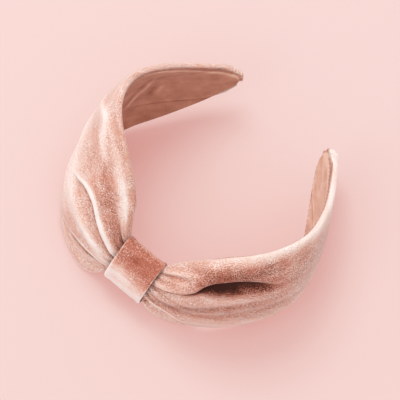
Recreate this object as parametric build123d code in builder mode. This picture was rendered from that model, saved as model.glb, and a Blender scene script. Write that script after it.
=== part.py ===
"""Knotted velvet headband, lying on its lower hems.

The band is a flat crown under the knot, one round bend on each side of the head, and two
long, nearly straight arms. Along it, s is the distance from the middle of the knot.
Across it, x runs from the lower hem (-) to the upper hem (+), and "out" is away from the head.
Every layer is a curved strip, drawn on section planes along the band and lofted through them.
"""
from build123d import *
from math import cos, radians, sin, sqrt
import os

RIGHT = 1
LEFT = -1
SIDES = {"right": RIGHT, "left": LEFT}

# The line of the band, seen square on (mm)
FLAT = 13.0                             # half of the flat crown, which the knot covers
BEND_R = 55.0                           # round the side of the head
BEND = {RIGHT: 104.5, LEFT: 110.5}      # length of that bend
ARM_R = 340.0                           # the arms still curve in a little
ARM = 61.0                              # length of each arm

# How the band stands: its own frame, tipped and rolled a little on its soft hems
BAND_ORIGIN = (-2.140, -59.475, 30.5)     # puts the middle of the whole box on the origin
TIP = 2.0                               # degrees, upper hem towards the open end
ROLL = 3.0                              # degrees, upper hem towards the right arm

# Joints: each arm springs open from the edge of the knot
GAP = 1.2                               # between the crown's layers and an arm's layers
ARM_START = FLAT + GAP

# Layers from outside to inside: depth below the outer surface (middle, hem)
OUTER_VELVET = ((0.0, 0.0), (1.3, 0.8))
UNDER_VELVET = ((1.45, 0.9), (2.5, 1.5))
FOAM = ((2.65, 1.6), (4.4, 2.4))
CORE = ((4.6, 2.5), (6.1, 3.3))
LINING = ((6.3, 3.45), (6.9, 3.95))
FOAM_INSET = 3.0                        # the foam stops short of the hems
LINING_INSET = 1.2
CORE_HALF_WIDTH = 12.0
CORE_SHARE = 0.78                       # of the band's width, where that is the smaller
SHORT = {"outer": 0.0, "under": 0.6, "foam": 14.0, "core": 2.5, "lining": 1.4}   # at the tip
LEAST_RISE = 0.6                        # of any face's middle above its hems
TABLE = Plane.XY                        # the velvet hems are pressed flat where they stand
SECTIONS = 20                           # section planes along one arm

# The knot's wrap: a loop of velvet round the crown's layers
WRAP_THICK = 1.3
WRAP_OUT = 1.5                          # its outer face stands above the velvet beside it
WRAP_IN = 8.3                           # depth of its head-side face
WRAP_SIDE = 1.6                         # its reach past the hems
WRAP_CORNER = 3.0
WRAP_HALF_LENGTH = 12.9
GATHER = ((0.15, 0.3), (4.3, 2.6))     # the bunched velvet inside the wrap
GATHER_INSET = 2.2

# Sewing thread
THREAD = 0.5
STITCH = 2.6
SEAM_INSET = 3.2                        # from the hem to the seam, on the lining
SEAM_DEPTH = 1.2                        # of a stitch's middle, above the lining
WRAP_STITCHES = 6
WRAP_STITCH_PITCH = 4.0


def length(side):
    return FLAT + BEND[side] + ARM


def smooth(points, s):
    """A cubic curve through (s, value) points, its slope at each taken from its neighbours."""
    if s <= points[0][0]:
        return points[0][1]
    if s >= points[-1][0]:
        return points[-1][1]
    n = next(i for i in range(len(points) - 1) if s <= points[i + 1][0])

    def slope(i):
        low = points[max(i - 1, 0)]
        high = points[min(i + 1, len(points) - 1)]
        return (high[1] - low[1]) / (high[0] - low[0])

    (s0, v0), (s1, v1) = points[n], points[n + 1]
    h = s1 - s0
    t = (s - s0) / h
    m0, m1 = slope(n) * h, slope(n + 1) * h
    return (2*t**3 - 3*t**2 + 1)*v0 + (t**3 - 2*t**2 + t)*m0 + (3*t**2 - 2*t**3)*v1 + (t**3 - t**2)*m1


def along(side, knot, near, quarter, middle, far, end, nose, tip):
    """Values of one measure at the knot's edge, past it, and on towards the tip."""
    total = length(side)
    places = (FLAT, 2*FLAT, 0.30*total, 0.50*total, 0.70*total, 0.87*total, 0.96*total, total)
    return list(zip(places, (knot, near, quarter, middle, far, end, nose, tip)))


# Distance from the centre line to the upper and the lower hem (mm)
UPPER = {
    RIGHT: along(RIGHT, 9.5, 24, 41, 42, 32, 16, 9, 3.6),
    LEFT: along(LEFT, 9.5, 29, 42, 48, 33, 17, 10, 3.6),
}
LOWER = {
    RIGHT: along(RIGHT, 19.5, 25, 26, 26, 24, 21, 13, 4.4),
    LEFT: along(LEFT, 19.5, 25, 31, 33, 27.5, 22, 13, 4.4),
}
# How far the section's middle stands out from its two hems (mm)
BULGE = {
    RIGHT: along(RIGHT, 2, 5, 10, 13, 9.5, 5, 2.5, 1.4),
    LEFT: along(LEFT, 2, 4, 8, 8.5, 8, 5, 2.5, 1.4),
}
# Turn of the section about the line of the band: minus brings the upper hem inwards (degrees)
LEAN = {
    RIGHT: along(RIGHT, -29.5, -23, -16, -10, 2, 11, 17, 18),
    LEFT: along(LEFT, -29.5, -32, -24, -4, 9, 14, 16, 18),
}
# The under velvet shows as a flange below the outer velvet, next to the knot (mm)
FLANGE = {RIGHT: 3.5, LEFT: 7.0}
FLANGE_PEAK = {RIGHT: 26.0, LEFT: 34.0}
FLANGE_END = {RIGHT: 48.0, LEFT: 66.0}


def flange(side, s):
    points = [(FLAT, 0.0), (FLANGE_PEAK[side], FLANGE[side]), (FLANGE_END[side], 0.0)]
    return max(0.0, smooth(points, s))


def band_plane():
    tip, roll = radians(TIP), radians(ROLL)
    x_dir = (cos(roll), -sin(roll)*sin(tip), -sin(roll)*cos(tip))
    z_dir = (sin(roll), cos(roll)*sin(tip), cos(roll)*cos(tip))
    return Plane(origin=BAND_ORIGIN, x_dir=x_dir, z_dir=z_dir)


BAND = band_plane()


def section_plane(side, s):
    """The plane across the band at s: its X axis points out, its Y axis towards the upper hem."""
    first = min(max(s - FLAT, 0.0), BEND[side])
    rest = max(s - FLAT - BEND[side], 0.0)
    turn = first/BEND_R
    x = min(s, FLAT) + BEND_R*sin(turn)
    y = BEND_R*(1 - cos(turn))
    total = turn + rest/ARM_R
    x += ARM_R*(sin(total) - sin(turn))
    y += ARM_R*(cos(turn) - cos(total))
    out = BAND.x_dir*(side*sin(total)) - BAND.y_dir*cos(total)
    lean = radians(smooth(LEAN[side], s))
    tangent = out.cross(BAND.z_dir)
    x_dir = out*cos(lean) - BAND.z_dir*sin(lean)
    return Plane(origin=BAND.from_local_coords((side*x, y, 0)), x_dir=x_dir, z_dir=tangent)


def strip_points(side, s, depth, low, high):
    """Three points of one face of a layer, from x = low to x = high, at a (middle, hem) depth."""
    upper, lower = smooth(UPPER[side], s), smooth(LOWER[side], s)
    bulge = smooth(BULGE[side], s)
    middle_depth = depth[0]
    hem_depth = max(depth[1], middle_depth - bulge + LEAST_RISE)
    stand = bulge - middle_depth + hem_depth
    half = (upper + lower)/2
    rise = stand*half*half/(upper*lower)
    radius = (half*half + rise*rise)/(2*rise)

    def face(x):
        across = x - (upper - lower)/2
        return sqrt(radius*radius - across*across) - radius + rise - hem_depth

    return [(face(x), x) for x in (low, (low + high)/2, high)]


def reach(side, s, kind):
    """How far a layer of one kind reaches across the band at s, as (low, high)."""
    upper, lower = smooth(UPPER[side], s), smooth(LOWER[side], s)
    if kind == "core":
        half = min(CORE_HALF_WIDTH, CORE_SHARE*(upper + lower)/2)
        centre = (upper - lower)/2
        return centre - half, centre + half
    inset = {"outer": 0.0, "under": 0.0, "foam": FOAM_INSET, "lining": LINING_INSET}[kind]
    inset = min(inset, 0.3*upper)
    extra = flange(side, s) if kind == "under" else 0.0
    return -lower + inset - extra, upper - inset


def stations(side, kind):
    """Places of the section planes, from the knot's edge to the layer's end at the tip."""
    last = length(side)
    step = (last - ARM_START)/(SECTIONS - 1)
    end = last - SHORT[kind]
    even = [ARM_START + step*i for i in range(SECTIONS)]
    return [s for s in even if s < end - 0.3*step] + [end]


def band_layer(side, kind, faces):
    """One layer of one arm, lofted through its sections."""
    with BuildPart() as layer:
        for s in stations(side, kind):
            low, high = reach(side, s, kind)
            outer = strip_points(side, s, faces[0], low, high)
            inner = strip_points(side, s, faces[1], low, high)
            with BuildSketch(section_plane(side, s)):
                with BuildLine():
                    ThreePointArc(*outer)
                    Line(outer[2], inner[2])
                    ThreePointArc(*inner)
                    Line(inner[0], outer[0])
                make_face()
        loft(ruled=True)
        if kind in ("outer", "under"):
            split(bisect_by=TABLE, keep=Keep.TOP)
    return layer


def crown_layer(faces, low, high, half_length):
    """One layer under the knot, where the band is straight."""
    outer = strip_points(RIGHT, 0.0, faces[0], low, high)
    inner = strip_points(RIGHT, 0.0, faces[1], low, high)
    with BuildPart() as layer:
        with BuildSketch(CROWN):
            with BuildLine():
                ThreePointArc(*outer)
                Line(outer[2], inner[2])
                ThreePointArc(*inner)
                Line(inner[0], outer[0])
            make_face()
        extrude(amount=half_length, both=True)
    return layer


def seam_thread(side):
    """Stitches that hold the lining to the turned-in velvet, in a row along each hem."""
    places = []
    for s in stations(side, "lining")[1:-3]:
        plane = section_plane(side, s)
        low, high = reach(side, s, "lining")
        for x in (low + SEAM_INSET, high - SEAM_INSET):
            depth = strip_points(side, s, LINING[1], x, x)[0][0] - SEAM_DEPTH
            places.append(plane.location*Location((depth, x, 0)))
    with BuildPart() as thread:
        with Locations(*places):
            Box(THREAD, THREAD, STITCH)
    return thread


def save(piece, name):
    piece.part.label = name
    export_step(piece.part, "parts/" + name + ".step")


os.makedirs("parts", exist_ok=True)
CROWN = section_plane(RIGHT, 0.0)
CROWN_UPPER = smooth(UPPER[RIGHT], 0.0)
CROWN_LOWER = smooth(LOWER[RIGHT], 0.0)
CROWN_MIDDLE = (CROWN_UPPER - CROWN_LOWER)/2

for side_name, side in SIDES.items():
    core_arm = band_layer(side, "core", CORE)
    save(core_arm, "core_arm_" + side_name)
    foam = band_layer(side, "foam", FOAM)
    save(foam, "foam_" + side_name)
    lining = band_layer(side, "lining", LINING)
    save(lining, "lining_" + side_name)
    under_velvet = band_layer(side, "under", UNDER_VELVET)
    save(under_velvet, "under_velvet_" + side_name)
    pleated_velvet = band_layer(side, "outer", OUTER_VELVET)
    save(pleated_velvet, "pleated_velvet_" + side_name)
    thread = seam_thread(side)
    save(thread, "seam_thread_" + side_name)

core_low, core_high = reach(RIGHT, 0.0, "core")
core_crown = crown_layer(CORE, core_low, core_high, FLAT)
save(core_crown, "core_crown")

lining_low, lining_high = reach(RIGHT, 0.0, "lining")
lining_crown = crown_layer(LINING, lining_low, lining_high, FLAT)
save(lining_crown, "lining_crown")

gathered_velvet = crown_layer(GATHER, GATHER_INSET - CROWN_LOWER, CROWN_UPPER - GATHER_INSET, FLAT)
save(gathered_velvet, "gathered_velvet")

# The wrap: a closed loop, its outer face a little round, its corners soft
wrap_low = -CROWN_LOWER - WRAP_SIDE
wrap_high = CROWN_UPPER + WRAP_SIDE
wrap_bulge = smooth(BULGE[RIGHT], 0.0)
with BuildPart() as knot_wrap:
    with BuildSketch(CROWN):
        with BuildLine():
            ThreePointArc((WRAP_OUT, wrap_low), (WRAP_OUT + wrap_bulge, CROWN_MIDDLE), (WRAP_OUT, wrap_high))
            Line((WRAP_OUT, wrap_high), (-WRAP_IN, wrap_high))
            Line((-WRAP_IN, wrap_high), (-WRAP_IN, wrap_low))
            Line((-WRAP_IN, wrap_low), (WRAP_OUT, wrap_low))
        loop_face = make_face()
        fillet(loop_face.vertices(), WRAP_CORNER)
        offset(amount=-WRAP_THICK, mode=Mode.SUBTRACT)
    extrude(amount=WRAP_HALF_LENGTH, both=True)
save(knot_wrap, "knot_wrap")

# The wrap's ends are sewn together on the head side
first_stitch = -(WRAP_STITCHES - 1)/2*WRAP_STITCH_PITCH
stitch_depth = -WRAP_IN - THREAD/2 - 0.02
stitch_places = [(stitch_depth, CROWN_MIDDLE, first_stitch + WRAP_STITCH_PITCH*i) for i in range(WRAP_STITCHES)]
with BuildPart(CROWN) as wrap_stitches:
    with Locations(*stitch_places):
        Box(THREAD, STITCH, THREAD)
save(wrap_stitches, "wrap_stitches")
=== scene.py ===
"""Looks of the knotted velvet headband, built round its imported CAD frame.

Lengths are millimetres in the frame's own axes until a mesh is made, which is in metres.
Along the band, s is the distance from the middle of the knot. Across it, x runs from the lower
hem (-) to the upper hem (+). Height is measured out from the head, and depth into the band.
"""

from math import cos, pi, radians, sin

import bpy
import numpy as np
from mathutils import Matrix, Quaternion, Vector, noise


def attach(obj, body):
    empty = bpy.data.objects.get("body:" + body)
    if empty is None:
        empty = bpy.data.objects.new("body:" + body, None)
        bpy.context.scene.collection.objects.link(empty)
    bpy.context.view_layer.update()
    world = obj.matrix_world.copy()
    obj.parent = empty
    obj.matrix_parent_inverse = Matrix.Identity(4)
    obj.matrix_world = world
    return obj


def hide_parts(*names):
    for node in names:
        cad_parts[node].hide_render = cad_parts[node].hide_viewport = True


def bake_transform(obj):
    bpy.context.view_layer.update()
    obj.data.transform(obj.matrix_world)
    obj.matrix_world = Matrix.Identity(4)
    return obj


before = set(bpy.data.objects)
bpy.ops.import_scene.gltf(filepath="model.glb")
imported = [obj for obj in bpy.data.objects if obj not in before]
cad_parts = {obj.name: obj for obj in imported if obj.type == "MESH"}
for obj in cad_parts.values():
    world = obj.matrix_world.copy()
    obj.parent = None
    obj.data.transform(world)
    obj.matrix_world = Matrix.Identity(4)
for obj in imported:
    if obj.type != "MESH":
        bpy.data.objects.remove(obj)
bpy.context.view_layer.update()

METRE = 0.001  # one millimetre in metres
UV_SCALE = 0.01  # the cloth's own coordinates: 1 for each 100 mm
RIGHT = 1
LEFT = -1
SIDES = {"right": RIGHT, "left": LEFT}

# The line of the band, as in the CAD model
FLAT = 13.0
BEND_R = 55.0
BEND = {RIGHT: 104.5, LEFT: 110.5}
ARM_R = 340.0
ARM = 61.0
BAND_ORIGIN = np.array((-2.140, -59.475, 30.5))
TIP = radians(2.0)
ROLL = radians(3.0)
BAND_X = np.array((cos(ROLL), -sin(ROLL)*sin(TIP), -sin(ROLL)*cos(TIP)))
BAND_Z = np.array((sin(ROLL), cos(ROLL)*sin(TIP), cos(ROLL)*cos(TIP)))
BAND_Y = np.cross(BAND_Z, BAND_X)

# Depths of the layers (middle, hem)
ON_TOP = (0.0, 0.0)
UNDER = (1.7, 1.2)
FOAM_OUT = (2.8, 1.8)
FOAM_CLEAR = (3.5, 2.2)  # the under layer stays outside this
FOAM_IN = (4.45, 2.4)
LINING_FACE = (6.9, 4.2)
LEAST_RISE = 0.6
LINING_INSET = 3.0
FOAM_INSET = 3.4

# Grids
STEP = 0.62  # between rows of a velvet sheet
ACROSS = 112  # points on its outer face
TURN = 9  # points round a hem
CLOTH_START = 11.0  # the cloths run in under the wrap
CAP_ROWS = 7  # rows that close a tip
CLOTH_THICK = 0.55
LINING_THICK = 0.45
TABLE_Z = 0.03  # lowest point of cloth that lies on the table


def length(side):
    return FLAT + BEND[side] + ARM


def smooth(points, s):
    """A cubic curve through (s, value) points, its slope at each taken from its neighbours."""
    at = np.array([p[0] for p in points], float)
    value = np.array([p[1] for p in points], float)
    slope = np.empty_like(value)
    slope[1:-1] = (value[2:] - value[:-2])/(at[2:] - at[:-2])
    slope[0] = (value[1] - value[0])/(at[1] - at[0])
    slope[-1] = (value[-1] - value[-2])/(at[-1] - at[-2])
    s = np.clip(s, at[0], at[-1])
    n = np.clip(np.searchsorted(at, s) - 1, 0, len(at) - 2)
    h = at[n + 1] - at[n]
    t = (s - at[n])/h
    start = (2*t**3 - 3*t**2 + 1)*value[n] + (t**3 - 2*t**2 + t)*slope[n]*h
    end = (3*t**2 - 2*t**3)*value[n + 1] + (t**3 - t**2)*slope[n + 1]*h
    return start + end


def along(side, knot, near, quarter, middle, far, end, nose, tip):
    """Values of one measure at the knot's edge, past it, and on towards the tip."""
    total = length(side)
    places = (FLAT, 2*FLAT, 0.30*total, 0.50*total, 0.70*total, 0.87*total, 0.96*total, total)
    return list(zip(places, (knot, near, quarter, middle, far, end, nose, tip)))


UPPER = {
    RIGHT: along(RIGHT, 9.5, 24, 41, 42, 32, 16, 9, 3.6),
    LEFT: along(LEFT, 9.5, 29, 42, 48, 33, 17, 10, 3.6),
}
LOWER = {
    RIGHT: along(RIGHT, 19.5, 25, 26, 26, 24, 21, 13, 4.4),
    LEFT: along(LEFT, 19.5, 25, 31, 33, 27.5, 22, 13, 4.4),
}
BULGE = {
    RIGHT: along(RIGHT, 2, 5, 10, 13, 9.5, 5, 2.5, 1.4),
    LEFT: along(LEFT, 2, 4, 8, 8.5, 8, 5, 2.5, 1.4),
}
LEAN = {
    RIGHT: along(RIGHT, -29.5, -23, -16, -10, 2, 11, 17, 18),
    LEFT: along(LEFT, -29.5, -32, -24, -4, 9, 14, 16, 18),
}
DRAWN_IN = {
    RIGHT: [(80, 0), (105, 2.6), (150, 2.8), (170, 1.6), (178.5, 0.4)],
    LEFT: [(85, 0), (105, 1.6), (135, 1.2), (165, 2.4), (177, 1.9), (184.5, 0.5)],
}
SHOWN = {  # how far the layer under the pleats shows below them
    RIGHT: [(11, 3.0), (13, 3.4), (15.5, 4.8), (21, 6.2), (30, 5.0), (40, 2.2), (50, 0)],
    LEFT: [(11, 3.0), (13, 3.6), (15.5, 6.6), (19, 10.0), (25, 11.0), (33, 9.5), (42, 6.5), (54, 2.6),
           (66, 0)],
}
# Beside the knot the pleated velvet ends in a straight folded edge, above the hem of the layer under it
FOLDED_EDGE = {
    RIGHT: [(11, 18.4), (13, 18.4), (20, 18.5), (27, 18.8), (33, 22.0), (40, 26.2), (46, 26.0)],
    LEFT: [(11, 18.4), (13, 18.4), (20, 19.0), (27, 19.4), (35, 21.5), (43, 25.0), (51, 28.6), (60, 31.6)],
}


def upper_hem(side, s):
    """The upper hem of the cloths: gathered in under the wrap, at the CAD hem beyond it."""
    return smooth(UPPER[side], s) - WRAP_PULL*(1 - ease(12.0, 15.5, s))


def lower_hem(side, s):
    """The lower hem of the cloths: drawn in a little from the CAD hem along the arm's far half."""
    return smooth(LOWER[side], s) - smooth(DRAWN_IN[side], s)


def hem_roll(side, s):
    """How thick a turned hem is: it goes round the layers inside it, which stand deeper at the ends."""
    return np.maximum(4.0, LINING_FACE[0] + LEAST_RISE - 0.35 - smooth(BULGE[side], s))


def section(side, s):
    """Origin, outward and upward directions of the planes across the band at s."""
    first = np.clip(s - FLAT, 0, BEND[side])
    rest = np.maximum(s - FLAT - BEND[side], 0)
    turn = first/BEND_R
    total = turn + rest/ARM_R
    x = np.minimum(s, FLAT) + BEND_R*np.sin(turn) + ARM_R*(np.sin(total) - np.sin(turn))
    y = BEND_R*(1 - np.cos(turn)) + ARM_R*(np.cos(turn) - np.cos(total))
    level = np.multiply.outer(side*np.sin(total), BAND_X) - np.multiply.outer(np.cos(total), BAND_Y)
    lean = np.radians(smooth(LEAN[side], s))[..., None]
    out = level*np.cos(lean) - BAND_Z*np.sin(lean)
    up = level*np.sin(lean) + BAND_Z*np.cos(lean)
    origin = BAND_ORIGIN + np.multiply.outer(side*x, BAND_X) + np.multiply.outer(y, BAND_Y)
    return origin, out, up


CROWN_PLANE = section(RIGHT, np.zeros(1))  # at the middle of the knot


def place(side, s, x, height):
    """Points of the frame at s along the band, x across it, and a height out from its centre line."""
    origin, out, up = section(side, s)
    return origin + out*height[..., None] + up*x[..., None]


def face(side, s, x, depth):
    """Height of a layer's face at a (middle, hem) depth: an arc across the band."""
    upper, lower = smooth(UPPER[side], s), smooth(LOWER[side], s)
    bulge = smooth(BULGE[side], s)
    hem_depth = np.maximum(depth[1], depth[0] - bulge + LEAST_RISE)
    stand = bulge - depth[0] + hem_depth
    half = (upper + lower)/2
    rise = stand*half*half/(upper*lower)
    radius = (half*half + rise*rise)/(2*rise)
    off_middle = x - (upper - lower)/2
    return np.sqrt(np.maximum(radius*radius - off_middle*off_middle, 1)) - radius + rise - hem_depth


def ease(a, b, t):
    """0 at a, 1 at b, smooth between."""
    u = np.clip((t - a)/(b - a), 0, 1)
    return u*u*(3 - 2*u)


def hump(q, width):
    """1 at 0, and gone at about twice the width."""
    return np.exp(-(q/width)**2)


def spread(s, x):
    """Each row's s, at every point of a grid like x."""
    return np.broadcast_to(s[:, None], x.shape)


def rough(s, x, wide, tall, seed):
    """Smooth noise over the cloth, with bumps about wide along it and tall across it."""
    flat = [noise.noise(Vector((a/wide, b/tall, seed))) for a, b in zip(s.ravel(), x.ravel())]
    return np.array(flat).reshape(s.shape)


# ---- folds of the outer velvet
# A side's pleat has a lip that lies over what is below it: its line, and its measures along s. Its dark is
# painted shade in the pocket under the lip, and its pale a painted highlight along the lip.
PLEAT = {
    LEFT: dict(
        lip=[(11, -7.5), (13, -6.9), (20, -2.6), (27, 2.0), (35, 7.4), (42, 11.0), (50, 10.0), (57, 4.0),
             (64, -2)],
        gap=[(11, 1.3), (45, 1.5), (58, 3.5), (64, 5.0)],
        height=[(11, 0.8), (14, 1.6), (24, 3.0), (38, 3.6), (47, 3.0), (56, 1.2), (64, 0)],
        back=[(11, 5.0), (24, 9.0), (40, 13.0), (64, 12.0)],
        foot=[(11, -0.2), (30, -0.7), (45, -1.0), (58, -0.3), (64, 0)],
        pocket=[(11, 0.2), (30, 1.0), (46, 1.6), (58, 0.4), (64, 0)],
        overhang=[(11, 0.75), (64, 0.6)],
        dark=[(11, 0.7), (20, 0.8), (40, 0.75), (52, 0.4), (62, 0)],
        pale=[(11, 1.2), (64, 1.3)],
    ),
    RIGHT: dict(
        lip=[(11, -5.3), (13, -4.4), (23, 3.2), (30, 8.4), (35, 13.8), (39, 20.6), (45, 26.0), (57, 30.6),
             (68, 30.2), (78, 26.0)],
        gap=[(11, 1.3), (33, 1.4), (39, 6.0), (45, 8.6), (57, 8.6), (68, 6.6), (80, 3.5)],
        height=[(11, 0.8), (14, 1.8), (23, 3.2), (34, 3.8), (45, 3.0), (57, 2.0), (68, 1.0), (78, 0)],
        back=[(11, 5.0), (24, 9.0), (45, 10.0), (78, 12.0)],
        foot=[(11, -0.3), (22, -0.4), (34, 0.8), (45, 1.6), (60, 1.5), (70, 0.8), (78, 0)],
        pocket=[(11, 0.1), (32, 0.4), (40, 3.2), (47, 4.3), (56, 4.0), (66, 2.4), (78, 0)],
        overhang=[(11, 0.95), (34, 0.9), (44, 0.35), (78, 0)],
        dark=[(11, 0.9), (30, 1.1), (38, 1.6), (50, 1.65), (58, 1.45), (65, 1.15), (72, 0.75), (82, 0)],
        pale=[(11, 0.4), (30, 0.35), (40, 0), (78, 0)],
    ),
}
# A ridge is soft on both sides: its line, height and half width along s.
RIDGES = {
    LEFT: [
        dict(line=[(11, -14.6), (17, -13.4), (25, -11.0), (34, -8.9), (44, -7.0), (54, -6.2), (73, 3),
                   (95, 8)],
             height=[(11, 0.6), (18, 1.3), (36, 1.7), (54, 1.1), (80, 0.8), (105, 0)], width=3.4),
        dict(line=[(60, 30), (74, 34), (84, 36), (96, 26), (105, 12)],
             height=[(56, 0), (70, 0.8), (90, 1.1), (108, 0)], width=4.5),
        dict(line=[(11, 1.0), (20, 6.5), (30, 14), (42, 22)],
             height=[(11, -0.6), (18, -1.3), (30, -0.9), (48, 0)], width=4.2),
        dict(line=[(11, 4.5), (18, 12.5), (28, 22), (45, 31), (70, 37)],
             height=[(11, 0.6), (20, 1.2), (40, 0.9), (75, 0)], width=4.0),
        dict(line=[(60, -20), (90, -14), (125, -10)], height=[(55, 0), (80, 0.8), (130, 0)], width=6),
    ],
    RIGHT: [
        dict(line=[(11, 4.0), (20, 12.2), (28, 17.6), (36, 19.0)],
             height=[(11, 0.6), (17, 1.3), (25, 1.1), (36, 0)], width=2.0),
        dict(line=[(11, 1.0), (20, 8.8), (28, 14.4), (34, 17)],
             height=[(11, -0.5), (18, -1.1), (27, -0.7), (34, 0)], width=1.8),
        dict(line=[(11, -11), (20, -8.5), (36, 1.5), (48, 11), (60, 17), (75, 20)],
             height=[(11, 0.5), (22, 1.1), (45, 1.2), (62, 0.8), (80, 0)], width=3.2),
        dict(line=[(11, -14), (26, -13), (46, -5), (60, 2), (75, 7), (100, 8)],
             height=[(11, 0), (26, -0.6), (50, -0.9), (80, -0.5), (105, 0)], width=3.4),
        dict(line=[(30, -18), (50, -14), (70, -7), (95, -2), (120, 0)],
             height=[(26, 0), (48, 1.0), (80, 1.3), (125, 0)], width=5.0),
        dict(line=[(30, 26), (45, 36), (80, 38)], height=[(26, 0), (44, 0.9), (85, 0)], width=4),
    ],
}
# Painted sheen (+) and painted shade (-) on the velvet: a line along the cloth, half width, strength along s
PAINTED_SHEEN_AND_SHADE = {
    LEFT: [
        dict(line=[(13, 8), (17, 13), (29, 25), (38, 31), (48, 36), (61, 39), (90, 40)], width=4.0,
             strength=[(12, 0.1), (18, 0.55), (45, 0.7), (60, 0.4), (95, 0.25), (115, 0)]),
        dict(line=[(60, 30), (73, 33), (84, 36), (105, 11)], width=3.5,
             strength=[(54, 0), (66, 0.5), (95, 0.5), (112, 0)]),
        dict(line=[(48, -12), (70, -4), (100, 0), (125, 0)], width=17,
             strength=[(42, 0), (60, 0.5), (110, 0.6), (150, 0.2)]),
        dict(line=[(13, -14), (30, -11), (50, -10)], width=4.5,
             strength=[(12, 0.3), (30, 0.6), (60, 0.2), (80, 0)]),
        dict(line=[(11, 1), (19, 8), (27, 15), (36, 20), (48, 25)], width=5.0,
             strength=[(12, -0.3), (18, -0.25), (26, -0.05), (36, -0.2), (50, -0.15), (62, 0)]),
        dict(line=[(60, 14), (80, 20), (100, 18)], width=8, strength=[(50, 0), (70, -0.05), (110, 0)]),
        dict(line=[(20, 0), (60, 5), (120, 5)], width=30,
             strength=[(14, 0.08), (30, 0.22), (120, 0.18), (160, 0)]),
    ],
    RIGHT: [
        dict(line=[(26, 21), (35, 28), (44, 34.5), (56, 38.5), (69, 39), (100, 35), (150, 20)], width=5.0,
             strength=[(22, 0), (34, -0.15), (60, -0.36), (80, -0.12), (120, 0.4), (178, 0.6)]),
        dict(line=[(13, -8), (19, -5), (27, -1), (39, 8), (58, 16.5), (68, 19.5)], width=3.4,
             strength=[(12, 0.2), (26, 0.3), (60, 0.2), (76, 0)]),
        dict(line=[(76, 12), (100, 5), (125, 0)], width=16,
             strength=[(70, 0), (90, 0.15), (120, 0.1), (150, 0.05)]),
        dict(line=[(88, -8), (110, -6), (130, -4), (155, 0), (172, 3)], width=3.2,
             strength=[(80, 0), (98, 0.4), (150, 0.55), (176, 0.3)]),
        dict(line=[(92, 14), (115, 13), (140, 11), (165, 8)], width=4.5,
             strength=[(84, 0), (105, -0.16), (150, -0.12), (170, 0)]),
        dict(line=[(13, 3), (20, 10), (30, 18), (38, 24)], width=5.0,
             strength=[(12, 0.1), (19, 0.3), (30, 0.25), (42, 0)]),
        dict(line=[(13, -15), (22, -12), (36, -4), (50, 5), (62, 11)], width=3.6,
             strength=[(12, 0), (24, -0.3), (50, -0.35), (75, 0)]),
        dict(line=[(32, 14), (38, 22), (46, 28), (57, 32.5), (75, 31)], width=5.0,
             strength=[(28, 0), (40, -0.5), (56, -0.42), (68, -0.3), (84, 0)]),
        dict(line=[(30, -18), (55, -12), (75, -6)], width=6, strength=[(20, 0.1), (50, 0.3), (90, 0)]),
    ],
}
FLATTENED = {  # the far half is less full than the CAD's arc
    RIGHT: [(84, 0), (108, -2.6), (140, -2.0), (166, 0)],
    LEFT: [(130, 0), (184, 0)],
}
NUB = {RIGHT: 2.4, LEFT: 0.5}  # the lump of folded cloth at a tip
TIP_FULL = 0.9  # and how much thicker its turnings are
# Painted highlight along the folded lower edge, along s
FOLD_SHEEN = [(12, 0.9), (45, 0.75), (62, 0.15), (175, 0.15)]
# Painted sheen along the rolled upper hem, along s
HEM_SHEEN = {
    RIGHT: [(13, 0.2), (40, 0.45), (70, 0.75), (175, 0.85)],
    LEFT: [(13, 0.15), (60, 0.25), (110, 0.3), (175, 0.4)],
}
WRAP_PULL = 2.3  # the wrap pulls the upper hems in by this
FOLDED_THICK = 1.5  # of the pleated velvet's edge beside the knot
TURNED_IN = (3.2, 2.6)  # how far the lower and the upper hem are turned in
# Painted shading: raised ridges and gathers are painted lighter and sunk ones darker, by these shares
RIDGE_SHADING = 0.2
GATHER_SHADING = 0.3
GATHERS = 8  # small pleats that the wrap pulls into the velvet
GATHER_HEIGHT = 0.55
GATHER_REACH = 10.0
CRUSH = {"fine": (7.0, 4.0, 0.16), "broad": (26.0, 13.0, 0.45)}  # (along, across, height)


def pleat(p, s, x):
    """(height, shift along x, painted shade and sheen) of one lipped pleat."""
    lip, gap = smooth(p["lip"], s), smooth(p["gap"], s)
    top, foot = smooth(p["height"], s), smooth(p["foot"], s)
    back, deep = smooth(p["back"], s), smooth(p["pocket"], s)
    q = x - lip
    behind = top*hump(np.maximum(q, 0), back)
    below = foot*hump(np.maximum(-q - gap, 0), 5.0)
    v = np.clip(-q/gap, 0, 1)
    inside = foot + (top - foot)*(1 - ease(0, 0.6, v)) - deep*np.sin(pi*v)**1.3
    height = np.where(q >= 0, behind, np.where(v < 1, inside, below))
    shift = -smooth(p["overhang"], s)*np.clip(top, 0, 2.5)*0.45*hump(q - 0.2, 1.3)
    # Painted highlight along the lip, and painted shade in the pocket below it, past what the lip hides.
    dark = smooth(p["dark"], s)
    shade_and_sheen = np.clip(top/2.2, 0, 1)*smooth(p["pale"], s)*hump(q - 0.9, 2.0)
    hidden = np.maximum(np.minimum(gap, 1.5 + 0.3*gap), 0.85*top)  # the lip covers this much below it
    shade_and_sheen = shade_and_sheen - dark*np.where(q < 0, ease(0.1, 0.5, v)*hump(np.maximum(-q - hidden, 0), 1.4 + 0.42*gap), 0)
    return height, shift, shade_and_sheen


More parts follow.
